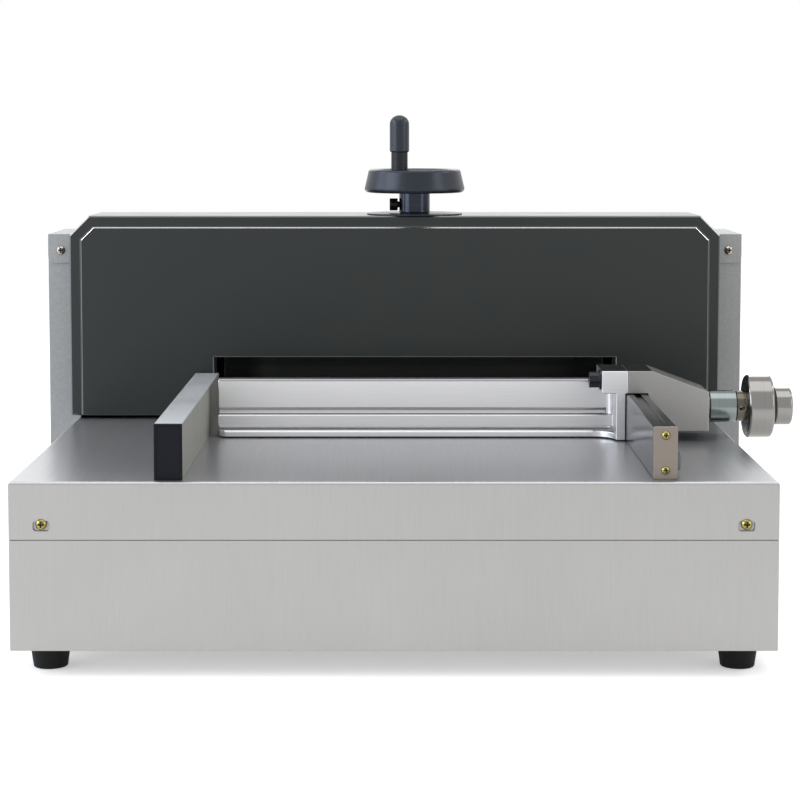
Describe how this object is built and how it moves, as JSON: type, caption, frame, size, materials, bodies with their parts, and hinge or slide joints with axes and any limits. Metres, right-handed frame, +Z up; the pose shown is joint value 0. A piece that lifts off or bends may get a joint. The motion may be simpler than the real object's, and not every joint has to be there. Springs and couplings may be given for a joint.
{
  "type": "electric paper cutter",
  "caption": "Electric guillotine paper cutter with rear table, rack-set back gauge, hand-wheel clamp, screw-driven knife and hinged safety guard.",
  "frame": {"origin": "middle of the footprint at floor level, under the rubber feet", "axes": "+X along the knife towards the adjusting wheel, +Y from the back gauge to the operator, +Z up"},
  "size_m": [0.6153, 0.6379, 0.3964],
  "materials": {
    "base_paint": "satin grey coat with a fine brushed look",
    "table_steel": "brushed stainless sheet",
    "hood_paint": "satin dark grey coat",
    "casing_paint": "fine textured mid grey coat",
    "machined_steel": "machined and oiled",
    "knife_steel": "ground",
    "bright_steel": "turned and polished",
    "aluminium": "extruded and clear anodised",
    "cast_aluminium": "die cast, satin",
    "rail_finish": "ground steel",
    "yellow_zinc": "yellow passivated zinc",
    "black_steel": "black oxide",
    "brass": "turned",
    "black_plastic": "moulded, slightly glossy",
    "foot_rubber": "moulded",
    "belt_rubber": "moulded",
    "smoked_plastic": "smoked folded sheet",
    "green_plastic": "moulded",
    "red_plastic": "extruded",
    "circuit_board": "coated laminate",
    "motor_paint": "black coat"
  },
  "bodies": {
    "machine": {"base_housing": "base_paint", "rear_table_cover": "table_steel", "rubber_feet": "foot_rubber", "panhead_screws": "yellow_zinc", "bed_supports": "machined_steel", "bed_beam": "machined_steel", "left_side_frame": "machined_steel", "right_side_frame": "machined_steel", "top_beam": "machined_steel", "cutting_stick": "red_plastic", "front_table": "table_steel", "front_apron": "casing_paint", "left_side_panel": "casing_paint", "right_side_panel": "casing_paint", "head_top_cover": "casing_paint", "rear_hood": "hood_paint", "wheel_escutcheon": "black_plastic", "head_front_cover": "casing_paint", "guard_lugs": "machined_steel", "guard_hinge_pins": "bright_steel", "guide_rods": "bright_steel", "screw_bearings": "bright_steel", "drive_belt": "belt_rubber", "motor": "motor_paint", "left_guide": "aluminium", "left_guide_cap": "black_plastic", "right_rail": "rail_finish", "rail_end_plate": "rail_finish", "gauge_rack": "machined_steel", "control_bezels": "black_plastic", "power_inlet": "black_plastic", "control_board": "circuit_board"},
    "gauge": {"back_gauge": "aluminium", "gauge_saddle": "cast_aluminium", "gauge_bolt": "black_steel", "shaft_barrel": "machined_steel"},
    "gauge_wheel": {"pinion_shaft": "bright_steel", "adjusting_wheel": "bright_steel"},
    "gauge_lock": {"lock_knob": "bright_steel"},
    "clamp_wheel": {"clamp_screw": "bright_steel", "hand_wheel": "black_plastic", "wheel_set_screw": "black_steel", "crank_shank": "black_steel"},
    "crank_handle": {"crank_grip": "black_plastic"},
    "clamp": {"clamp_beam": "machined_steel", "clamp_nut": "brass"},
    "knife_slide": {"knife": "knife_steel", "knife_carrier": "machined_steel", "knife_bolts_set": "black_steel", "carrier_bushes": "brass"},
    "left_drive": {"left_lead_screw": "bright_steel", "left_pulley": "machined_steel"},
    "right_drive": {"right_lead_screw": "bright_steel", "right_pulley": "machined_steel"},
    "motor_drive": {"motor_pulley": "machined_steel"},
    "guard": {"safety_guard": "smoked_plastic"},
    "left_button": {"left_cut_button": "green_plastic"},
    "right_button": {"right_cut_button": "green_plastic"},
    "rocker": {"power_rocker": "black_plastic"}
  },
  "joints": [
    {"name": "gauge_slide", "type": "slide", "parent": "machine", "child": "gauge", "axis": [0, 1, 0], "range_m": [-0.178, 0.078]},
    {"name": "gauge_wheel_spin", "type": "hinge", "parent": "gauge", "child": "gauge_wheel", "pos_m": [-0.00965, -0.1034, 0.164], "axis": [1, 0, 0], "range_deg": [-497.06, 1133.68]},
    {"name": "gauge_lock_turn", "type": "hinge", "parent": "gauge_wheel", "child": "gauge_lock", "pos_m": [-0.00965, -0.1034, 0.164], "axis": [1, 0, 0], "range_deg": [0, 120]},
    {"name": "clamp_wheel_turn", "type": "hinge", "parent": "machine", "child": "clamp_wheel", "pos_m": [0.00735, 0.0402, 0.139], "axis": [0, 0, 1], "range_deg": [-2205.5, 0.5]},
    {"name": "crank_grip_spin", "type": "hinge", "parent": "clamp_wheel", "child": "crank_handle", "pos_m": [-0.00565, 0.0122, 0.139], "axis": [0, 0, 1], "continuous": true},
    {"name": "clamp_slide", "type": "slide", "parent": "machine", "child": "clamp", "axis": [0, 0, 1], "range_m": [-0.049, 0]},
    {"name": "left_screw_turn", "type": "hinge", "parent": "machine", "child": "left_drive", "pos_m": [-0.21265, 0.0762, 0.139], "axis": [0, 0, 1], "range_deg": [-0.5, 1962.5]},
    {"name": "right_screw_turn", "type": "hinge", "parent": "machine", "child": "right_drive", "pos_m": [0.22735, 0.0762, 0.139], "axis": [0, 0, 1], "range_deg": [-0.5, 1962.5]},
    {"name": "motor_turn", "type": "hinge", "parent": "machine", "child": "motor_drive", "pos_m": [0.00735, -0.0578, 0.139], "axis": [0, 0, 1], "range_deg": [-0.5, 1962.5]},
    {"name": "knife_slide_down", "type": "slide", "parent": "machine", "child": "knife_slide", "axis": [0, 0, 1], "range_m": [-0.0545, 0]},
    {"name": "guard_hinge", "type": "hinge", "parent": "machine", "child": "guard", "pos_m": [0.00735, 0.1252, 0.279], "axis": [1, 0, 0], "range_deg": [0, 95]},
    {"name": "left_button_press", "type": "slide", "parent": "machine", "child": "left_button", "axis": [0, -1, 0], "range_m": [0, 0.005], "stiffness_N_per_m": 400, "springref_m": -0.002},
    {"name": "right_button_press", "type": "slide", "parent": "machine", "child": "right_button", "axis": [0, -1, 0], "range_m": [0, 0.005], "stiffness_N_per_m": 400, "springref_m": -0.002},
    {"name": "power_rocker_tilt", "type": "hinge", "parent": "machine", "child": "rocker", "pos_m": [-0.00965, 0.2942, 0.083], "axis": [1, 0, 0], "range_deg": [-10, 10]}
  ],
  "couplings": [
    {"joint": "gauge_wheel_spin", "follows": "gauge_slide", "rad_per_m": -111.11},
    {"joint": "clamp_wheel_turn", "follows": "clamp_slide", "rad_per_m": 785.4},
    {"joint": "left_screw_turn", "follows": "knife_slide_down", "rad_per_m": -628.32},
    {"joint": "right_screw_turn", "follows": "knife_slide_down", "rad_per_m": -628.32},
    {"joint": "motor_turn", "follows": "knife_slide_down", "rad_per_m": -628.32}
  ]
}
